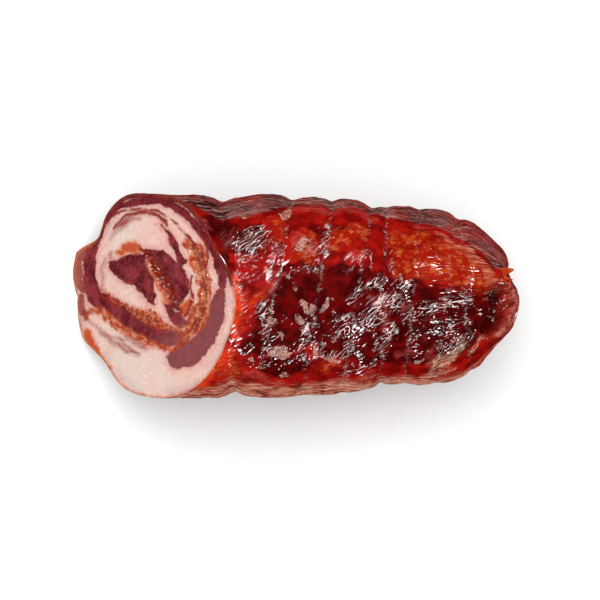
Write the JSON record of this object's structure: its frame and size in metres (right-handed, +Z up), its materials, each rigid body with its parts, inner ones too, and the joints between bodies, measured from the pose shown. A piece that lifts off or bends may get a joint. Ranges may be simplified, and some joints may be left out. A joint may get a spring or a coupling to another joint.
{
  "type": "piece of rolled cured bacon",
  "caption": "Rolled cured bacon in a netted casing, cut on a slant to show the meat spiral, with the other end gathered shut.",
  "frame": {"origin": "bottom centre of the bounding box, on the floor that the roll lies on", "axes": "+X along the roll, from the slanting cut to the gathered end; +Z up; +Y to the left of someone looking along +X"},
  "size_m": [0.2366, 0.1086, 0.1042],
  "materials": {
    "casing": "glossy",
    "cut_face": "satin"
  },
  "bodies": {
    "root": {"bacon_roll": "casing"}
  },
  "joints": []
}
